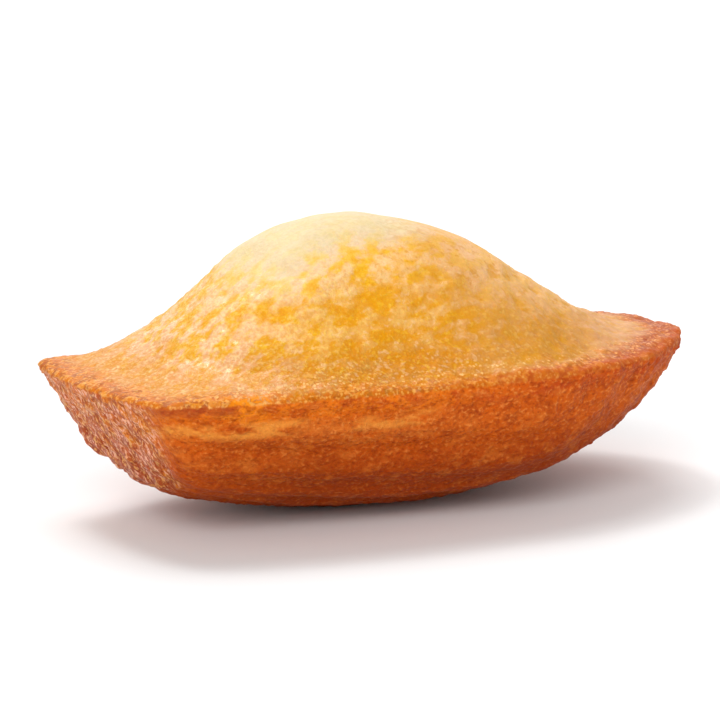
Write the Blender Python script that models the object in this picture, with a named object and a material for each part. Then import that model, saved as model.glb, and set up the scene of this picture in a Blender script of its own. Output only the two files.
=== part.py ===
"""A madeleine: a small sponge cake baked in a scallop-shell mould, as one closed solid.

The cake rests on its ribbed belly, as it lies on a table. The origin is under the middle of the cake, at the
level it rests on. +X runs from the narrow hinge end of the shell to the tip of its fan, and +Z up through the
dome that rose out of the mould.

The surface is worked out over a grid of two numbers. "run" goes from 0 at the hinge end to 1 at the fan rim,
and "side" from -1 to 1 across the cake. Heights are first taken from the rim of the mould, then moved up at
the end so that the flat spot under the belly lies at zero.
"""

import math

import bmesh
import bpy
import numpy as np

MM = 0.001

# Outline of the rim, seen from above.
SHELL_LENGTH = 76.0 * MM        # from the hinge corners to the tip of the fan
SHELL_WIDTH = 43.8 * MM         # across the widest place, where the fan begins
HINGE_WIDTH = 29.0 * MM         # between the hinge corners
HINGE_BOW = 1.6 * MM            # how far the middle of the hinge end stands out past its corners
WIDEST_AT = 45.0 * MM           # from the hinge corners to the widest place
FAN_POWER = 2.06                # 2 is an ellipse, more is squarer
CORNER_ROUNDING = 0.5 * MM      # how far the two hinge corners are drawn in
CORNER_REACH = 3.5 * MM         # how far from each corner that is felt

# The moulded underside: three sloping walls that meet a rounded belly.
BELLY_DEPTH = 17.0 * MM
BELLY_AT = 36.3 * MM            # from the hinge corners to the deepest place
HINGE_WALL_SLOPE = math.radians(56.8)
SIDE_WALL_SLOPE = math.radians(62.6)
FAN_WALL_SLOPE = math.radians(52.5)
BELLY_RISE_TO_HINGE = 0.38      # share of the depth lost by the time the belly reaches the hinge
BELLY_RISE_TO_FAN = 0.91        # the same towards the tip of the fan and the two sides
BELLY_RISE_TO_SIDES = 0.42
BELLY_LENGTH_POWER = 2.0        # a higher power keeps the belly level for longer
BELLY_SIDE_POWER = 1.6
SIDE_CORNER_TIGHTNESS = 8.4     # how sharply each wall turns into the belly
FAN_CORNER_TIGHTNESS = 4.1
HINGE_CORNER_TIGHTNESS = 15.0
REST_TRIM = 0.7 * MM            # depth of the flat spot pressed on the lowest ribs

# Ribs of the shell, which fan out from the hinge to the rim.
RIB_COUNT = 11
RIB_SPAN = 0.93                 # share of the girth that the ribs cover, with the smooth lip on both sides
RIB_DEPTH = 0.85 * MM           # from crest to groove on the belly
RIB_DEPTH_AT_HINGE = 0.35       # shares of that depth, by the hinge, the fan's rim and the flanks' lip
RIB_DEPTH_AT_RIM = 0.5
RIB_DEPTH_AT_LIP = 0.5
RIB_GROWTH = 0.28               # share of the length over which the ribs reach their full depth
RIB_FADE_POWER = 6              # the ribs die out where the flank's rim runs into the fan's
SCALLOP_DEPTH = 0.3 * MM        # notches that the grooves cut in the rim of the fan
SCALLOP_REACH = 14              # a higher power keeps the notches closer to the rim

# The rounded lip around the rim.
LIP_INSET = 0.5 * MM            # from the widest ring of the lip in to the two rings above and below it
LIP_DROP = 0.5 * MM             # the widest ring is this far below the level of the rim

# The dome, highest nearer the hinge, with a flatter skirt all round.
DOME_HEIGHT = 15.4 * MM
DOME_AT = (31.4 * MM, 1.2 * MM)  # from the hinge corners, and to one side of the middle
DOME_POWERS_TO_HINGE = (2.5, 3.5)   # the first rounds the summit, the second spreads the foot
DOME_POWERS_TO_FAN = (2.6, 3.15)
DOME_POWERS_TO_SIDES = (2.35, 2.2)  # fuller, as the dome fills nearly the whole width
DOME_ROUND_WAVES = 3            # waves of the rim's outline that the dome keeps higher up
DOME_ROUNDING = 5               # a higher power brings the round part closer to the rim
BRIM_ROLL = 0.45 * MM           # the top rolls over by this much before it meets the lip
BRIM_ROLL_POWER = 10

# Slow swells of the baked top: one pattern of hills along and across, and one of slanting ridges.
SWELL_HEIGHT = 0.35 * MM
HILLS_ALONG, HILLS_ACROSS = 8.5 * MM, 6.5 * MM
HILLS_START = (1.3, -0.4)
RIDGES_ALONG, RIDGES_ACROSS = 4.6 * MM, -5.8 * MM
RIDGES_START = 2.0
RIDGES_SHARE = 0.5

# Grid: six columns to each rib, and rows closer together at both ends.
COLUMNS_PER_RIB = 6
COLUMNS_PER_LIP = 3
ROWS = 30
ROW_CROWDING = 0.45
SIDE_CROWDING = 0.4

CRUST_COLOUR = (0.66, 0.27, 0.055, 1.0)
CRUST_ROUGHNESS = 0.5
SMOOTH_UNDER = math.radians(35)


def clear_scene():
    for thing in list(bpy.data.objects):
        bpy.data.objects.remove(thing, do_unlink=True)


def smooth_min(a, b, tightness):
    """The lesser of two depths, rounded where they cross."""
    return (a ** -tightness + b ** -tightness) ** (-1 / tightness)


def smooth_step(value):
    value = np.clip(value, 0, 1)
    return value * value * (3 - 2 * value)


def fan_edge(side):
    """Rim of the fan, a superellipse from the widest place on one side to the widest on the other."""
    angle = side * math.pi / 2
    across, along = np.abs(np.sin(angle)), np.abs(np.cos(angle))
    reach = (across ** FAN_POWER + along ** FAN_POWER) ** (-1 / FAN_POWER)
    x = WIDEST_AT + (SHELL_LENGTH - WIDEST_AT) * along * reach
    y = SHELL_WIDTH / 2 * np.sign(side) * across * reach
    return x, y


def hinge_edge(side):
    return -HINGE_BOW * (1 - side ** 2), HINGE_WIDTH / 2 * side


def plan(run, side):
    """Place on the plan of the cake, on lines that spread from the hinge edge to the fan edge."""
    fan_x, fan_y = fan_edge(side)
    hinge_x, hinge_y = hinge_edge(side)
    bulge = (SHELL_WIDTH - HINGE_WIDTH) / 2 * side ** 3 * run * (1 - run)
    x = hinge_x + (fan_x - hinge_x) * run
    y = hinge_y + (fan_y - hinge_y) * run + bulge
    to_corner_x, to_corner_y = x, HINGE_WIDTH / 2 - np.abs(y)
    near_corner = np.exp(-(to_corner_x ** 2 + to_corner_y ** 2) / CORNER_REACH ** 2)
    pull = CORNER_ROUNDING * near_corner * math.sqrt(0.5)
    return x + pull, y - np.sign(y) * pull


def half_width(run):
    start, end = HINGE_WIDTH / 2, SHELL_WIDTH / 2
    return start + (end - start) * run * (2 - run)


def shell_depth(run, side, x):
    """Depth of the moulded underside below the rim."""
    fan_x, fan_y = fan_edge(side)
    hinge_x, hinge_y = hinge_edge(side)
    line_length = np.hypot(fan_x - hinge_x, fan_y - hinge_y)
    hinge_wall = run * line_length * math.tan(HINGE_WALL_SLOPE)
    fan_wall = (1 - run) * line_length * math.tan(FAN_WALL_SLOPE)
    side_wall = (1 - np.abs(side)) * half_width(run) * math.tan(SIDE_WALL_SLOPE)
    back = np.clip((BELLY_AT - x) / BELLY_AT, 0, 1)
    front = np.clip((x - BELLY_AT) / (SHELL_LENGTH - BELLY_AT), 0, 1)
    belly = BELLY_DEPTH * (1 - BELLY_RISE_TO_HINGE * back ** BELLY_LENGTH_POWER)
    belly *= 1 - BELLY_RISE_TO_FAN * front ** BELLY_LENGTH_POWER
    belly *= 1 - BELLY_RISE_TO_SIDES * np.abs(side) ** BELLY_SIDE_POWER
    depth = smooth_min(side_wall, belly, SIDE_CORNER_TIGHTNESS)
    depth = smooth_min(depth, fan_wall, FAN_CORNER_TIGHTNESS)
    return smooth_min(depth, hinge_wall, HINGE_CORNER_TIGHTNESS)


def rim_loop(steps=90):
    """The whole rim as one loop of plan points, for measuring how far it is from the middle of the dome."""
    side = np.linspace(-1, 1, steps)
    run = np.linspace(0, 1, steps)
    edges = [plan(np.ones(steps), side), plan(run[::-1], np.ones(steps))]
    edges += [plan(np.zeros(steps), side[::-1]), plan(run, -np.ones(steps))]
    return np.concatenate([np.stack(edge, axis=1) for edge in edges])


def rim_reach(angle, centre):
    """Distance from the middle of the dome to the rim in a direction, true and with its corners smoothed."""
    loop = rim_loop() - centre
    loop_angle = np.arctan2(loop[:, 1], loop[:, 0])
    order = np.argsort(loop_angle)
    loop_reach = np.hypot(loop[:, 0], loop[:, 1])[order]
    true = np.interp(angle, loop_angle[order], loop_reach, period=2 * math.pi)
    turn = np.linspace(-math.pi, math.pi, 360, endpoint=False)
    even = np.interp(turn, loop_angle[order], loop_reach, period=2 * math.pi)
    smooth = np.full_like(angle, even.mean())
    for wave in range(1, DOME_ROUND_WAVES + 1):
        for shape in (np.cos, np.sin):
            smooth += 2 * (even * shape(wave * turn)).mean() * shape(wave * angle)
    return true, smooth


def swell_height(x, y):
    hills = np.sin(x / HILLS_ALONG + HILLS_START[0]) * np.sin(y / HILLS_ACROSS + HILLS_START[1])
    ridges = np.sin(x / RIDGES_ALONG + y / RIDGES_ACROSS + RIDGES_START)
    return SWELL_HEIGHT * (hills + RIDGES_SHARE * ridges)


def dome_height(x, y):
    """Height of the risen top above the rim, and slow swells that fade out towards the rim."""
    centre_x, centre_y = DOME_AT
    angle = np.arctan2(y - centre_y, x - centre_x)
    distance = np.hypot(x - centre_x, y - centre_y)
    true, smooth = rim_reach(angle, DOME_AT)
    at_rim = np.clip(distance / true, 0, 1) ** DOME_ROUNDING
    out = np.clip(distance / (smooth + (true - smooth) * at_rim), 0, 1)
    to_fan = 0.5 + 0.5 * np.cos(angle)
    to_sides = np.sin(angle) ** 2
    ends = zip(DOME_POWERS_TO_HINGE, DOME_POWERS_TO_FAN, DOME_POWERS_TO_SIDES)
    inner, outer = [(h + (f - h) * to_fan) * (1 - to_sides) + s * to_sides for h, f, s in ends]
    dome = DOME_HEIGHT * (1 - out ** inner) ** outer
    return dome + swell_height(x, y) * (1 - out ** 4) + BRIM_ROLL * (1 - out ** BRIM_ROLL_POWER)


def groove(girth):
    """1 in the bottom of each groove and 0 on each crest, for places from -1 to 1 around the underside."""
    rib_phase = (girth / RIB_SPAN + 1) / 2 * RIB_COUNT * 2 * math.pi
    lip_phase = (np.abs(girth) - RIB_SPAN) / (1 - RIB_SPAN) * math.pi
    return 0.5 + 0.5 * np.cos(np.where(np.abs(girth) > RIB_SPAN, lip_phase, rib_phase))


def rib_share(run, girth):
    """Share of the full rib depth: shallow on the hinge wall, the flanks and the rim."""
    share = RIB_DEPTH_AT_HINGE + (1 - RIB_DEPTH_AT_HINGE) * smooth_step(run / RIB_GROWTH)
    share *= 1 - (1 - RIB_DEPTH_AT_RIM) * run ** 4
    share *= 1 - (1 - RIB_DEPTH_AT_LIP) * np.abs(girth) ** 3
    return share * (1 - np.abs(run * girth) ** RIB_FADE_POWER)


def grid_numbers():
    """Run and girth of every grid place, as two arrays of rows by columns."""
    even = np.linspace(0, 1, ROWS + 1)
    rows = (1 - ROW_CROWDING) * even + ROW_CROWDING * (0.5 - 0.5 * np.cos(math.pi * even))
    ribs = np.linspace(-RIB_SPAN, RIB_SPAN, RIB_COUNT * COLUMNS_PER_RIB + 1)
    lip = np.linspace(RIB_SPAN, 1, COLUMNS_PER_LIP + 1)[1:]
    columns = np.concatenate([-lip[::-1], ribs, lip])
    return np.meshgrid(rows, columns, indexing="ij")


def girth_to_side(girth):
    """The plan narrows towards the steep flanks, so that the ribs keep an even width round the girth."""
    return SIDE_CROWDING * np.sin(girth * math.pi / 2) + (1 - SIDE_CROWDING) * girth


def layer(run, girth, inset):
    """Plan of one layer of the grid, drawn in from the rim all round, with the notches of the fan rim."""
    inner_run = inset / SHELL_LENGTH + run * (1 - 2 * inset / SHELL_LENGTH)
    side = girth_to_side(girth) * (1 - 2 * inset / SHELL_WIDTH)
    x, y = plan(inner_run, side)
    notch = SCALLOP_DEPTH * groove(girth) * run ** SCALLOP_REACH * (1 - np.abs(girth) ** RIB_FADE_POWER)
    away = np.hypot(x - DOME_AT[0], y)
    x = x - notch * (x - DOME_AT[0]) / away
    y = y - notch * y / away
    return x, y, inner_run, side


def top_points(run, girth):
    x, y, _, _ = layer(run, girth, LIP_INSET)
    return np.stack([x, y, dome_height(x, y)], axis=-1)


def lip_points(run, girth):
    x, y, _, _ = layer(run, girth, 0.0)
    return np.stack([x, y, np.full_like(x, -LIP_DROP)], axis=-1)


def underside_points(run, girth):
    """The walls and belly, with ribs that stand out and grooves that sink in by half their depth each."""
    x, y, inner_run, side = layer(run, girth, LIP_INSET)
    points = np.stack([x, y, -shell_depth(inner_run, side, x)], axis=-1)
    inward = np.cross(np.gradient(points, axis=0), np.gradient(points, axis=1))
    inward /= np.linalg.norm(inward, axis=-1, keepdims=True)
    depth = RIB_DEPTH * rib_share(run, girth) * (groove(girth) - 0.5)
    points += inward * depth[..., None]
    floor = points[..., 2].min() + REST_TRIM
    points[..., 2] = np.maximum(points[..., 2], floor)
    return points, floor


def build_mesh():
    """A flat grid thickened into a slab with a cut round its edge; all points are moved to their places."""
    run, girth = grid_numbers()
    columns = run.shape[1] - 1
    underside, floor = underside_points(run, girth)
    layers = [underside, lip_points(run, girth), top_points(run, girth)]
    shift = np.array([-(SHELL_LENGTH - HINGE_BOW) / 2, 0.0, -floor])

    bm = bmesh.new()
    bmesh.ops.create_grid(bm, x_segments=ROWS, y_segments=columns, size=1)
    raised = bmesh.ops.extrude_face_region(bm, geom=bm.faces[:], use_keep_orig=True)["geom"]
    raised = [part for part in raised if isinstance(part, bmesh.types.BMVert)]
    bmesh.ops.translate(bm, vec=(0, 0, 2), verts=raised)
    slab = bm.verts[:] + bm.edges[:] + bm.faces[:]
    bmesh.ops.bisect_plane(bm, geom=slab, plane_co=(0, 0, 1), plane_no=(0, 0, 1))
    for vert in bm.verts:
        row = round((vert.co.x + 1) / 2 * ROWS)
        column = round((vert.co.y + 1) / 2 * columns)
        vert.co = layers[round(vert.co.z)][row, column] + shift
    bmesh.ops.recalc_face_normals(bm, faces=bm.faces[:])
    mesh = bpy.data.meshes.new("madeleine")
    bm.to_mesh(mesh)
    bm.free()
    mesh.shade_smooth()
    mesh.set_sharp_from_angle(angle=SMOOTH_UNDER)
    return mesh


def crust_material():
    material = bpy.data.materials.new("baked_crust")
    material.use_nodes = True
    shader = material.node_tree.nodes["Principled BSDF"]
    shader.inputs["Base Color"].default_value = CRUST_COLOUR
    shader.inputs["Roughness"].default_value = CRUST_ROUGHNESS
    shader.inputs["Metallic"].default_value = 0.0
    return material


def build_madeleine():
    collection = bpy.data.collections.new("madeleine_cake")
    bpy.context.scene.collection.children.link(collection)
    mesh = build_mesh()
    mesh.materials.append(crust_material())
    collection.objects.link(bpy.data.objects.new("madeleine", mesh))


clear_scene()
build_madeleine()
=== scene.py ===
import math

import bpy
import numpy as np
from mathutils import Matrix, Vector
from mathutils.kdtree import KDTree


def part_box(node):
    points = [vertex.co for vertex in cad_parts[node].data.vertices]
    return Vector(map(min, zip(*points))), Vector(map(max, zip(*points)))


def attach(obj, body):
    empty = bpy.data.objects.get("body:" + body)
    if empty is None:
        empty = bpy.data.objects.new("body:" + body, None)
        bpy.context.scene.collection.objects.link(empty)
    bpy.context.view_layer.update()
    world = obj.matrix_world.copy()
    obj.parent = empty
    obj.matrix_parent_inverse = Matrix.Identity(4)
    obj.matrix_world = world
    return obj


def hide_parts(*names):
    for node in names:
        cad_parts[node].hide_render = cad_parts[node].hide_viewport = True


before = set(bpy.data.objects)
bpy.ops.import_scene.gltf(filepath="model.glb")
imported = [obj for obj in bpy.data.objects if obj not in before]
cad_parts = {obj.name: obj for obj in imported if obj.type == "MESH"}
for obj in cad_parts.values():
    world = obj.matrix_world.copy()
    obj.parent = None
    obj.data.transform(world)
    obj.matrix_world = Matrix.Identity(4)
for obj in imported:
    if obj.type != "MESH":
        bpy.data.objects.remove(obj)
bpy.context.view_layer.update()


# ---------------------------------------------------------------------------------------------------------
# The camera stands low on the near side, a little towards the narrow hinge end, and looks through a long
# lens at the middle of the lip.
MM = 0.001
CAMERA_AZIMUTH, CAMERA_ELEVATION = math.radians(-31.8), math.radians(11.15)
CAMERA_DISTANCE = 450 * MM
CAMERA_LENS = 196.3          # focal length in mm
AIM_ALONG, AIM_RIGHT, AIM_UP = 0.8 * MM, -3.1 * MM, -1.25 * MM
LIP_SETBACK = 0.5 * MM       # the lip's widest ring lies this far below the rim

low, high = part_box("madeleine")
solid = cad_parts["madeleine"].data
rim_height = max(solid.vertices, key=lambda point: point.co.x).co.z + LIP_SETBACK

right = Vector((math.cos(CAMERA_AZIMUTH), math.sin(CAMERA_AZIMUTH), 0))
ahead = Vector((-math.sin(CAMERA_AZIMUTH), math.cos(CAMERA_AZIMUTH), 0))
up = Vector((0, 0, 1))
towards_camera = up * math.sin(CAMERA_ELEVATION) - ahead * math.cos(CAMERA_ELEVATION)
aim = Vector((AIM_ALONG, 0, rim_height)) + right * AIM_RIGHT + towards_camera.cross(right) * AIM_UP

bpy.ops.object.select_all(action="DESELECT")
bpy.ops.object.camera_add(location=aim + towards_camera * CAMERA_DISTANCE)
camera = bpy.context.object
camera.rotation_euler = towards_camera.to_track_quat("Z", "Y").to_euler()
camera.data.lens = CAMERA_LENS
camera.data.clip_start = 10 * MM
scene = bpy.context.scene
scene.camera = camera


# ---------------------------------------------------------------------------------------------------------
# The studio is a pale table in a white room. The main light comes from above and behind on the left, as from
# a window, with a lower one behind it, and a wide one in front fills the shaded side.
ROOM_LIGHT = 0.5
TABLE_RADIUS = 4.0
TABLE_GAP = 0.05 * MM
LAMP_HEIGHT = 200 * MM

scene.view_settings.view_transform = "Standard"
world = bpy.data.worlds.new("white_room")
world.use_nodes = True
world.node_tree.nodes["Background"].inputs["Color"].default_value = (1, 1, 1, 1)
world.node_tree.nodes["Background"].inputs["Strength"].default_value = ROOM_LIGHT
scene.world = world

for name, side, depth, height, width, strength in (("window_light", -0.12, 0.45, 0.80, 36, 1.5),
                                                   ("window_gap", -0.25, 0.40, 0.85, 12, 0.5),
                                                   ("rear_light", -0.05, 0.85, 0.40, 40, 0.5),
                                                   ("front_light", -0.15, -0.80, 0.50, 45, 1.8)):
    bpy.ops.object.light_add(type="SUN", location=aim + up * LAMP_HEIGHT)
    lamp = bpy.context.object
    lamp.name = name
    lamp.rotation_euler = (right * side + ahead * depth + up * height).to_track_quat("Z", "Y").to_euler()
    lamp.data.angle = math.radians(width)
    lamp.data.energy = strength

bpy.ops.mesh.primitive_circle_add(vertices=96, radius=TABLE_RADIUS, fill_type="NGON",
                                  location=(0, 0, -TABLE_GAP))
table = bpy.context.object
table.name = "table_top"
table_paint = bpy.data.materials.new("pale_table")
table_paint.use_nodes = True
table_shader = table_paint.node_tree.nodes["Principled BSDF"]
table_shader.inputs["Base Color"].default_value = (0.8, 0.8, 0.8, 1)
table_shader.inputs["Roughness"].default_value = 0.9
table.data.materials.append(table_paint)


# ---------------------------------------------------------------------------------------------------------
# The cake is a fine butter sponge, baked in one piece in a greased shell mould. Its underside and lip
# browned against the metal, and its top rose freely into a pale hump with a pitted, buttery skin.
GRAIN = 0.34 * MM            # spacing of the points of the finished skin
SETTLE = math.radians(-35)   # the way the batter drew down the hinge face

cake = bpy.data.objects.new("madeleine_sponge", solid.copy())
scene.collection.objects.link(cake)
cake.data.materials.clear()
bpy.ops.object.select_all(action="DESELECT")
cake.select_set(True)
bpy.context.view_layer.objects.active = cake
bpy.ops.object.mode_set(mode="EDIT")
bpy.ops.mesh.select_all(action="SELECT")
bpy.ops.mesh.remove_doubles(threshold=0.001 * MM)
bpy.ops.mesh.tris_convert_to_quads(face_threshold=math.radians(60), shape_threshold=math.radians(60))
bpy.ops.object.mode_set(mode="OBJECT")


def apply_modifier(kind, **settings):
    modifier = cake.modifiers.new(kind.lower(), kind)
    for name, value in settings.items():
        setattr(modifier, name, value)
    bpy.ops.object.modifier_apply(modifier=modifier.name)


def read_points(what="co"):
    values = np.empty(len(cake.data.vertices) * 3)
    cake.data.vertices.foreach_get(what, values)
    return values.reshape(-1, 3)


def ease(value, start, end):
    """0 before start, 1 after end, and a smooth change between them."""
    part = np.clip((value - start) / (end - start), 0, 1)
    return part * part * (3 - 2 * part)


apply_modifier("SUBSURF", levels=2, render_levels=2)
apply_modifier("REMESH", mode="VOXEL", voxel_size=GRAIN)
apply_modifier("SMOOTH", factor=0.5, iterations=6)

smooth_points, smooth_normals = read_points(), read_points("normal")
x, y, z = smooth_points.T / MM
above = z - rim_height / MM

# Shares the skin out between zones, each 0 to 1: what the reliefs and the material work on. Their borders
# are heights above the rim, places along the cake and slopes of the skin, with lengths in mm.
faces_hinge_end = ease(-smooth_normals[:, 0], 0.35, 0.65)
past_corner = ease(y + 0.35 * np.minimum(above, 0), -13.5, -10.5)
zones = {"top": ease(above, -1.1, 0.1)}
zones["under"] = 1 - zones["top"]
zones["hinge"] = zones["under"] * faces_hinge_end * past_corner
zones["flank"] = zones["under"] - zones["hinge"]
zones["lip"] = 1 - ease(np.abs(above + 0.3), 0.4, 1.6)
zones["folded"] = zones["top"] * (1 - ease(x, 0, 12)) * ease(above, 0.8, 3)
zones["folded"] = zones["folded"] * (1 - 0.95 * ease(above, 10, 13.5))
zones["calm"] = zones["top"] * (1 - ease(above, 9.5, 13)) * ease(x, -8, 4)
zones["crumbly"] = zones["top"] * (1 - 0.95 * ease(above, 9.5, 13))
zones["tips"] = ease(x, 20, 30) * ease(above, -4.5, -1.5) * (1 - zones["hinge"])
zones["shell"] = zones["under"] * ease(x, 8, 26)
for name, weights in zones.items():
    group = cake.vertex_groups.new(name=name)
    for index, weight in enumerate(np.clip(weights, 0, 1).tolist()):
        if weight > 0.01:
            group.add((index,), weight, "REPLACE")

# Rounds the lip, and finds the crests of the ribs as what stands out from a much smoother skin.
apply_modifier("SMOOTH", factor=0.5, iterations=24, vertex_group="lip")
smooth_points, smooth_normals = read_points(), read_points("normal")
blur = cake.modifiers.new("blur", "SMOOTH")
blur.factor, blur.iterations = 0.5, 110
blurred = cake.evaluated_get(bpy.context.evaluated_depsgraph_get()).data
blurred_points = np.empty(len(blurred.vertices) * 3)
blurred.vertices.foreach_get("co", blurred_points)
cake.modifiers.remove(blur)
apply_modifier("SMOOTH", factor=0.5, iterations=14, vertex_group="flank")
crest = np.einsum("ij,ij->i", smooth_points - blurred_points.reshape(-1, 3), smooth_normals) / MM

# Measures how far inland of the lip's outermost ring each point lies.
ring = smooth_points[np.abs(above + 0.5) < 0.25]
lip_ring = KDTree(len(ring))
for index, point in enumerate(ring.tolist()):
    lip_ring.insert((point[0], point[1], 0), index)
lip_ring.balance()
inland = np.array([lip_ring.find((point[0], point[1], 0))[2] for point in smooth_points.tolist()]) / MM

# Finds the ridge of the hump at each place along the cake, and how far below it, as a share, each point lies.
stations = np.round(x - x.min()).astype(int)
ridge = np.zeros(stations.max() + 1)
np.maximum.at(ridge, stations, above)
ridge = np.convolve(np.pad(ridge, 2, mode="edge"), np.full(5, 0.2), mode="valid")
below_ridge = 1 - above / np.maximum(np.interp(x - x.min(), np.arange(len(ridge)), ridge), 1.0)


def relief(zone, kind, size, height, level=0.5, stretch=(1, 1, 1), turn=0.0, **settings):
    """Raises and sinks the skin of a zone by bumps of one size in mm, and says how far each point moved."""
    texture = bpy.data.textures.new(zone, kind)
    texture.noise_scale = size
    for name, value in settings.items():
        setattr(texture, name, value)
    guide = bpy.data.objects.new(zone + "_guide", None)
    scene.collection.objects.link(guide)
    guide.scale = Vector(stretch) * MM
    guide.rotation_euler = (0, turn, 0)
    bpy.context.view_layer.update()
    before, outwards = read_points(), read_points("normal")
    apply_modifier("DISPLACE", texture=texture, texture_coords="OBJECT", texture_coords_object=guide,
                   strength=height * MM, mid_level=level, vertex_group=zone)
    bpy.data.objects.remove(guide)
    bpy.data.textures.remove(texture)
    return np.einsum("ij,ij->i", read_points() - before, outwards) / MM


relief("top", "CLOUDS", 7, 0.8, noise_depth=1)
hollow = relief("folded", "CLOUDS", 1.8, 0.44, stretch=(1.4, 1, 1), noise_depth=2)
pore_floor = relief("calm", "VORONOI", 2.6, 0.2, level=0.9, noise_intensity=2.0)
relief("crumbly", "CLOUDS", 0.75, 0.24, noise_depth=1)
relief("flank", "CLOUDS", 3.5, 0.4, stretch=(3, 1, 1), noise_depth=2)
relief("flank", "CLOUDS", 0.65, 0.4, stretch=(2, 1, 1), noise_depth=1)
hinge_cells = relief("hinge", "VORONOI", 1.0, -0.6, level=0.12, stretch=(1, 1, 2), turn=SETTLE,
                     weight_1=-1, weight_2=1)
hinge_streaks = relief("hinge", "CLOUDS", 0.8, 0.6, stretch=(1, 1, 2.5), turn=SETTLE, noise_depth=2)
relief("hinge", "CLOUDS", 2.2, 0.9, noise_depth=1)
relief("lip", "CLOUDS", 1.1, 0.36, noise_depth=2)
relief("tips", "CLOUDS", 1.2, 0.45, noise_depth=2)
relief("shell", "CLOUDS", 1.7, 0.6, noise_depth=2)

# Draws the edge out or in a little where the real one is uneven: place, reach and move, all in mm.
points = read_points() / MM
for spot, reach, move in (((36.0, -9.0, 16.0), 4.5, (0.3, -0.15, 0.75)),
                          ((35.9, 9.3, 16.0), 5.0, (0.0, 0.0, -0.35)),
                          ((26.0, -12.0, 7.0), 6.0, (0.3, -0.2, -0.1)),
                          ((-36.8, 14.0, 15.5), 4.0, (-0.2, 0.2, 0.15)),
                          ((-31.5, 9.2, 7.5), 3.2, (-0.5, 0.2, -0.2)),
                          ((-29.5, 4.0, 3.8), 3.0, (-0.5, 0.2, -0.2)),
                          ((-36.5, -14.0, 13.0), 5.0, (0.5, 0.7, 0.0)),
                          ((-16.5, 5.0, 28.5), 4.0, (-0.2, 0.0, 0.4)),
                          ((11.6, 4.0, 29.5), 8.0, (0.0, 0.0, -0.3))):
    nearness = np.exp(-((points - spot) ** 2).sum(axis=1) / reach ** 2)
    points += nearness[:, None] * np.array(move)

# Keeps the skin inside the solid model's box.
cake.data.vertices.foreach_set("co", np.clip(points * MM, np.array(low), np.array(high)).ravel())
cake.data.update()
cake.vertex_groups.clear()
cake.data.shade_smooth()


def skin_value(name, values):
    """Keeps one number for each point of the skin, for the material to read."""
    layer = cake.data.attributes.new(name, "FLOAT", "POINT")
    layer.data.foreach_set("value", values.astype(np.float32))


skin_value("top", zones["top"])
skin_value("hinge", zones["hinge"])
skin_value("folded", zones["folded"])
skin_value("inland", inland)

# The cream crown counts down from the ridge to the rim, faster towards the fan, and again past both its ends.
CROWN_TOP, CROWN_HINGE_END, CROWN_FAN_END = 3, -16, 0
past_ends = 0.5 * np.maximum(x - CROWN_FAN_END, 0) + 0.7 * np.maximum(CROWN_HINGE_END - x, 0)
skin_value("crown", CROWN_TOP - below_ridge * (16 + np.clip(x + 14, 0, 20)) - past_ends)
skin_value("below_ridge", below_ridge)
skin_value("crest", crest * (1 - zones["lip"]))
skin_value("hollow", -hollow)
skin_value("pores", -pore_floor)
skin_value("hinge_pits", -hinge_cells - hinge_streaks)


class Tone:
    """A value or colour on its way through a material; sums on it add the nodes that work them out."""

    def __init__(self, tree, socket):
        self.tree, self.socket = tree, socket

    def node(self, kind, settings=None, inputs=None, output=0):
        """Adds a node, sets its settings first, fills its sockets with values or links, gives one output."""
        made = self.tree.nodes.new(kind)
        for name, value in (settings or {}).items():
            setattr(made, name, value)
        for name, value in (inputs or {}).items():
            if isinstance(value, Tone):
                self.tree.links.new(value.socket, made.inputs[name])
            else:
                made.inputs[name].default_value = value
        return Tone(self.tree, made.outputs[output])

    def maths(self, operation, first, second):
        return self.node("ShaderNodeMath", {"operation": operation}, {0: first, 1: second})

    def __add__(self, other):
        return self.maths("ADD", self, other)

    __radd__ = __add__

    def __mul__(self, other):
        return self.maths("MULTIPLY", self, other)

    __rmul__ = __mul__

    def __sub__(self, other):
        return self.maths("SUBTRACT", self, other)

    def __rsub__(self, other):
        return self.maths("SUBTRACT", other, self)

    def between(self, start, end):
        """0 before start, 1 after end, and a smooth change between them."""
        return self.node("ShaderNodeMapRange", {"interpolation_type": "SMOOTHSTEP"},
                         {"Value": self, "From Min": start, "From Max": end})

    def uneven(self, cloud, amount):
        """Adds a noise, evened out round 0, that changes this value by up to half the amount."""
        return self + (cloud - 0.5) * amount

    def tint(self, start, end):
        """Goes from one colour to another as this value goes from 0 to 1."""
        return self.node("ShaderNodeMix", {"data_type": "RGBA"}, {0: self, 6: start, 7: end}, output=2)

    def dyed(self, dye):
        """Multiplies this colour by another, channel by channel."""
        return self.node("ShaderNodeVectorMath", {"operation": "MULTIPLY"}, {0: self, 1: dye})


def colour(red, green, blue):
    """A colour in the 0 to 255 of a screen, turned into the share of light that it stands for."""
    parts = [part / 255 for part in (red, green, blue)]
    return (*[part / 12.92 if part <= 0.04045 else ((part + 0.055) / 1.055) ** 2.4 for part in parts], 1.0)


sponge = bpy.data.materials.new("baked_sponge")
sponge.use_nodes = True
tree = sponge.node_tree
shader = tree.nodes["Principled BSDF"]
place = Tone(tree, tree.nodes.new("ShaderNodeTexCoord").outputs["Object"])


def skin(name):
    return place.node("ShaderNodeAttribute", {"attribute_name": name}, output="Fac")


def noise(size, detail=2.0, stretch=(1, 1, 1), turn=0.0, warp=0.0):
    """Cloudy noise with lumps of about the size in mm, most of it between 0.3 and 0.7."""
    scale = tuple(size * MM * part for part in stretch)
    spot = place.node("ShaderNodeMapping", {"vector_type": "TEXTURE"},
                      {"Vector": place, "Rotation": (0, turn, 0), "Scale": scale})
    return place.node("ShaderNodeTexNoise", {}, {"Vector": spot, "Scale": 1.0, "Detail": detail,
                                                 "Distortion": warp})


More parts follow.
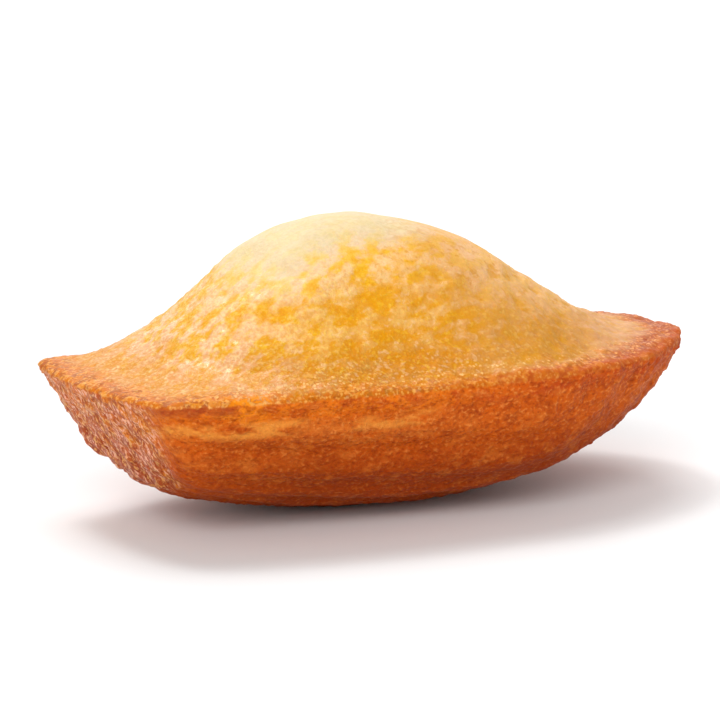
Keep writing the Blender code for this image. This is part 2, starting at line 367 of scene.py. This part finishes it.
# What the colours are mixed by: the place on the skin in mm, its zones, and noise from broad lumps to grains.
height = place.node("ShaderNodeSeparateXYZ", {}, {"Vector": place}, output="Z")
along = place.node("ShaderNodeSeparateXYZ", {}, {"Vector": place}, output="X") * (1 / MM)
over_rim = (height - rim_height) * (1 / MM)
top, hinge, folded, inland, crests = skin("top"), skin("hinge"), skin("folded"), skin("inland"), skin("crest")
broad, medium, small, fine = noise(6), noise(2.4, 3), noise(0.9, 3), noise(0.3, 2)
grains = noise(0.42, 2)
rough_side = along.between(-4, -16) + inland.between(4, 1) * 0.3
crumbs = (grains + rough_side * 0.06).between(0.54, 0.72)

# Top: a cream film over golden crumb, whole on the crown, broken into buttery gaps down the hinge side, and
# thin and even towards the fan.
FLOW = math.radians(-22)     # the way the skin tore as the hump rose
hinge_end, fan_end = along.between(-22, -36), along.between(2, 34)
crown = skin("crown").uneven(broad, 4).uneven(small, 4).between(-4.2, 2.6)
off_crown = 1 - crown
golden = along.uneven(broad, 12).between(11, -7)
hinge_side = along.uneven(broad, 8).between(-15, -29)
rough_height = over_rim.uneven(medium, 4)
golden_film = rough_height.between(7, 12).tint(colour(229, 171, 64), colour(239, 193, 104))
film = golden.tint(colour(207, 148, 78), golden_film)
film = hinge_side.tint(film, colour(232, 187, 120))
cream_side = along.uneven(broad, 10).between(-12, -27) * rough_height.between(3, 9)
film = (cream_side * 0.55).tint(film, colour(234, 196, 120))
low_film = hinge_side.tint(colour(186, 117, 22), colour(212, 147, 68))
film = over_rim.uneven(broad, 4).between(5.5, 1.0).tint(film, low_film)
film = crown.tint(film, colour(219, 197, 157))
drips = noise(0.5, 3, stretch=(1.2, 1.2, 4)).between(0.56, 0.40) * (1 - golden)
film = (drips * 0.4).tint(film, colour(194, 132, 48))

# Gaps in the film, more of them where the skin is hollow or thin, show the buttery crumb below it.
gap_noise = noise(1.5, 4, stretch=(1.8, 1, 1), turn=FLOW)
hollows = skin("hollow") * folded
thin = (1 - crown * 0.7) * (0.62 + 0.38 * along.between(-18, -4))
gaps = (gap_noise + hollows * 0.9 + thin * 0.32).uneven(grains, 0.3).uneven(small, 0.35) - 0.71
gaps = gaps.between(-0.09, 0.12)
high_gap = over_rim.between(8, 12).tint(colour(223, 150, 24), colour(236, 174, 66))
low_gap = over_rim.between(8, 1).tint(high_gap, colour(203, 127, 16))
gap_colour = golden.tint(colour(202, 140, 58), low_gap)
top_colour = (gaps * (0.8 - 0.4 * hinge_side) * (1 - crown * crown)).tint(film, gap_colour)
mottle = noise(0.65, 1)
dark_mottle = mottle.between(0.48, 0.34) * (0.2 + 0.15 * golden - 0.15 * hinge_side) * off_crown
top_colour = dark_mottle.tint(top_colour, colour(224, 148, 36))
pale_mottle = mottle.between(0.54, 0.68) * (0.15 + 0.15 * golden - 0.1 * hinge_side) * off_crown
top_colour = pale_mottle.tint(top_colour, colour(246, 204, 128))

# The fan side: painted light on the shoulder below the ridge, which faces away from the main light, a beige
# shelf inside the rim, and small brown pores and freckles.
# Painted light: the shoulder is painted paler, as if lit.
painted_shoulder_light = skin("below_ridge").uneven(medium, 0.3).between(0.7, 0.1) * along.between(-2, 10)
top_colour = (painted_shoulder_light * 0.8).tint(top_colour, colour(236, 186, 124))
shelf = along.uneven(medium, 6).between(13, 23) * over_rim.between(4.5, 2.0)
top_colour = (shelf * 0.9).tint(top_colour, colour(210, 154, 102))
pores = skin("pores").uneven(small, 0.12).between(0.03, 0.10) * (1 - shelf) * off_crown
top_colour = (pores * 0.6).tint(top_colour, colour(208, 140, 14))
lively = (1 - crown * 0.8) * (0.25 + 0.3 * golden + 0.2 * hinge_side)
dark_grains = (grains - rough_side * 0.05).between(0.46, 0.30) * lively * off_crown
top_colour = (dark_grains * 0.6).tint(top_colour, colour(208, 128, 16))
freckles = noise(0.9, 2, stretch=(1, 1, 1.5)).between(0.55, 0.68) * along.between(-16, 0)
top_colour = (freckles * 0.5 * off_crown * (1 - shelf)).tint(top_colour, colour(204, 134, 10))

# How rich the crumb is in butter: the dye takes blue out of it in patches, and leaves it creamy between them.
rich = (gap_noise + hollows * 0.5).uneven(medium, 0.5).uneven(small, 0.4).between(0.40, 0.62) - 0.5
rich = rich * (1 - crown * 0.92) * (0.25 + 0.75 * golden * (1 - hinge_side * 0.55))
rich = rich * (1 + golden * over_rim.between(9, 3)) + 0.5
top_colour = top_colour.dyed(rich.tint((1, 1.03, 1.7, 1), (1, 0.965, 0.16, 1)))
hinge_dye = along.between(-27, -37).tint((1, 1, 1, 1), (0.96, 0.9, 0.54, 1))
top_colour = top_colour.dyed(hinge_dye)
powder = ((grains * 0.5 + small * 0.5 - 0.5) * crown + 0.5).between(0.34, 0.66)
top_colour = top_colour.dyed(powder.tint((0.95, 0.94, 0.88, 1), (1.05, 1.05, 1.1, 1)))

# Dry pale crumbs on the skin, partly painted highlights, and painted glints: pale dots on and inside the rim
# that stand for highlights on the greasy crumb.
GLINT_DOT_SPACING = 0.62 * MM
# Pale crumb flecks: partly the crumb's own colour, partly painted highlights on its bumps.
pale_crumb_and_glint = crumbs * (1 - gaps * 0.5) * (0.2 + medium * 0.8) * lively
top_colour = pale_crumb_and_glint.tint(top_colour, hinge_side.tint(colour(250, 208, 102), colour(255, 221, 156)))
glint_dot_distance = place.node("ShaderNodeTexVoronoi", {}, {"Vector": place, "Scale": 1 / GLINT_DOT_SPACING},
                           output="Distance")
glint_dots = glint_dot_distance.between(0.36, 0.20) * small.between(0.42, 0.56)
# Painted highlight: pale glint dots near the rim.
painted_glints = glint_dots * inland.between(6, 0.8) * along.between(-36, -31) * (0.15 + 0.85 * inland.between(0.2, 0.9))
top_colour = (painted_glints * 0.7).tint(top_colour, colour(253, 206, 132))

# Browned margin: narrow along the sides, and wide and dark at the hinge end and the fan's tip.
margin = 0.8 + 2.4 * hinge_end + 3.5 * fan_end
toasted = (margin - inland).uneven(medium, 5).uneven(small, 3).between(-1.8, 1.6)
toast_colour = fan_end.tint(colour(200, 98, 10), colour(170, 72, 20))
light_toast = medium.between(0.50, 0.62) * (1 - fan_end * 0.6)
toast_colour = (light_toast * 0.7).tint(toast_colour, colour(228, 146, 50))
toast_colour = (small.between(0.52, 0.38) * 0.95).tint(toast_colour, colour(150, 50, 12))
# Pale flecks on the toasted margin, partly painted glints.
toast_fleck_and_glint = fan_end.tint(colour(238, 166, 80), colour(232, 152, 96))
toast_colour = (glint_dots * 0.8 + grains.between(0.52, 0.64) * 0.6).tint(toast_colour, toast_fleck_and_glint)
top_colour = (toasted * (0.85 - 0.15 * hinge_end)).tint(top_colour, toast_colour)
rim_red = inland.between(1.7, 0.5) * along.between(-12, 8) * (0.5 + 0.5 * small.between(0.6, 0.4))
top_colour = (rim_red * 0.75).tint(top_colour, colour(188, 84, 24))
buttery = along.uneven(medium, 4).between(-24, -26) * along.between(-30.5, -28.5)
buttery = buttery * inland.between(1.7, 0.7) * grains.between(0.62, 0.44)
top_colour = (buttery * 0.8).tint(top_colour, colour(240, 140, 14))

# Underside: red-orange under the lip, orange brown on the flanks, dark under the belly.
streaks = noise(1.3, 4, stretch=(4, 1, 1))
blotches = noise(2.0, 3, stretch=(1.5, 1, 1))
hairs = noise(0.38, 2, stretch=(1.3, 1, 1))
low_brown = along.between(-16, -28).tint(colour(154, 57, 1), colour(184, 74, 4))
flank_colour = over_rim.uneven(broad, 3).between(-12, -3.5).tint(low_brown, colour(195, 83, 2))
lip_red = over_rim.uneven(streaks, 3).between(-3.4, -1.6)
orange_gap = along.uneven(medium, 3).between(-24, -26) * along.between(-30.5, -28.5)
lip_colour = along.between(12, -14).tint(colour(192, 78, 6), colour(228, 116, 14))
lip_colour = orange_gap.tint(lip_colour, colour(244, 138, 20))
flank_colour = (lip_red * (0.5 + 0.7 * blotches)).tint(flank_colour, lip_colour)
flank_colour = (blotches.between(0.46, 0.32) * 0.45).tint(flank_colour, colour(150, 54, 2))
red_patches = noise(1.6, 2, stretch=(1.6, 1, 1)).uneven(small, 0.3).between(0.50, 0.62) * lip_red
flank_colour = (red_patches * 0.55).tint(flank_colour, colour(176, 58, 10))
corner_shade = along.between(-12, -18) * along.between(-33, -27) * over_rim.between(-3, -7)
flank_colour = (corner_shade * 0.35).tint(flank_colour, colour(150, 60, 4))
# Painted highlight: the rib crests under the lip are painted paler, where light from above catches them.
painted_crest_highlight = crests.uneven(streaks, 0.8).between(-0.15, 0.5) * over_rim.between(-10, -4.5)
painted_crest_highlight = painted_crest_highlight * over_rim.between(-1.6, -3.2) * (0.15 + 0.65 * along.between(10, -2))
flank_colour = (painted_crest_highlight * 0.3).tint(flank_colour, colour(240, 164, 78))
flank_colour = (blotches.between(0.54, 0.68) * 0.22).tint(flank_colour, colour(220, 130, 48))
flank_colour = (small.between(0.50, 0.34) * 0.45).tint(flank_colour, colour(148, 50, 0))
pale_hairs = hairs.between(0.50, 0.76) * (0.34 + 0.36 * over_rim.between(-9, -3))
flank_colour = pale_hairs.tint(flank_colour, colour(230, 136, 60))
flank_colour = (hairs.between(0.46, 0.26) * 0.5).tint(flank_colour, colour(130, 40, 0))

# Painted highlight along the first rib under the lip, in two stretches, and the lip's corner at the hinge end
# scorched.
band = over_rim.uneven(broad, 1)
highlight_gap = along.between(-22, -19.5) * along.between(-13.5, -16)
highlight_stretches = along.between(-4, -8) * (1 - highlight_gap * 0.85)
# Painted highlight: a pale band along the first rib.
painted_rib_highlight = band.between(-4.9, -3.9) * band.between(-2.3, -3.2) * highlight_stretches * streaks.between(0.30, 0.62)
flank_colour = (painted_rib_highlight * 0.6).tint(flank_colour, colour(236, 156, 62))
scorched = over_rim.between(-2.6, -1.0) * over_rim.between(0.2, -0.6) * streaks.between(0.34, 0.52)
scorched = scorched * along.uneven(medium, 3).between(-28, -30)
flank_colour = (scorched * 0.6).tint(flank_colour, colour(148, 54, 26))

# Hinge face: brown cells between paler threads that the batter drew down the metal; the threads' paleness is
# partly painted highlight.
threads = noise(0.26, 2, stretch=(1, 1, 2.4), turn=SETTLE, warp=0.3)
hinge_pits = (skin("hinge_pits") * 1.5).uneven(threads, 1.6).between(-0.15, 0.15)
hinge_colour = over_rim.uneven(medium, 6).between(-10, -2).tint(colour(186, 90, 38), colour(212, 118, 38))
hinge_colour = (medium.between(0.50, 0.62) * 0.8).tint(hinge_colour, colour(220, 128, 30))
hinge_colour = (hinge_pits * 0.85).tint(hinge_colour, colour(160, 60, 8))
hinge_colour = (threads.between(0.46, 0.34) * 0.85).tint(hinge_colour, colour(150, 50, 8))
# Paler threads: partly the crumb's own colour, partly painted highlights on the ridges.
hinge_colour = (threads.between(0.50, 0.62) * 0.85).tint(hinge_colour, colour(242, 180, 122))
hinge_patches = noise(1.5, 3).between(0.38, 0.62)
hinge_colour = hinge_colour.dyed(hinge_patches.tint((0.9, 0.82, 0.5, 1), (1.06, 1.1, 1.7, 1)))
under_colour = hinge.tint(flank_colour, hinge_colour)

edge = top.uneven(small, 0.8).uneven(grains, 0.4).between(0.25, 0.75)
tree.links.new(edge.tint(under_colour, top_colour).socket, shader.inputs["Base Color"])

# The finish: dull crumb with a fine grain, greasy where butter came through and inside the rim.
tree.links.new((0.4 + 0.2 * small).socket, shader.inputs["Roughness"])
top_relief = grains * (0.04 + 0.06 * hinge_side) + crumbs * 0.05 * lively + painted_glints * 0.03
under_relief = (1 - hinge) * hairs * 0.20 + hinge * threads * 0.26
relief_mm = fine * 0.06 + top * top_relief + (1 - top) * under_relief
bump = place.node("ShaderNodeBump", {}, {"Height": relief_mm, "Strength": 1.0, "Distance": 1.0 * MM})
tree.links.new(bump.socket, shader.inputs["Normal"])
greasy = 0.15 + 0.3 * folded + 0.15 * inland.between(5, 1) * (1 - hinge_end)
greasy = greasy * (1 - crown * 0.85) * (1 - fan_end * 0.7)
greasy = greasy * small.between(0.3, 0.6) * inland.between(0.5, 1.8)
coat = top * greasy + (1 - top) * 0.03 + hinge * 0.3
tree.links.new(coat.socket, shader.inputs["Coat Weight"])
shader.inputs["Coat Roughness"].default_value = 0.22
shader.inputs["Specular IOR Level"].default_value = 0.08
shader.inputs["Subsurface Weight"].default_value = 0.12
shader.inputs["Subsurface Radius"].default_value = (1.0, 0.4, 0.12)
shader.inputs["Subsurface Scale"].default_value = 1.0 * MM
cake.data.materials.append(sponge)

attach(cake, "root")
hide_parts("madeleine")
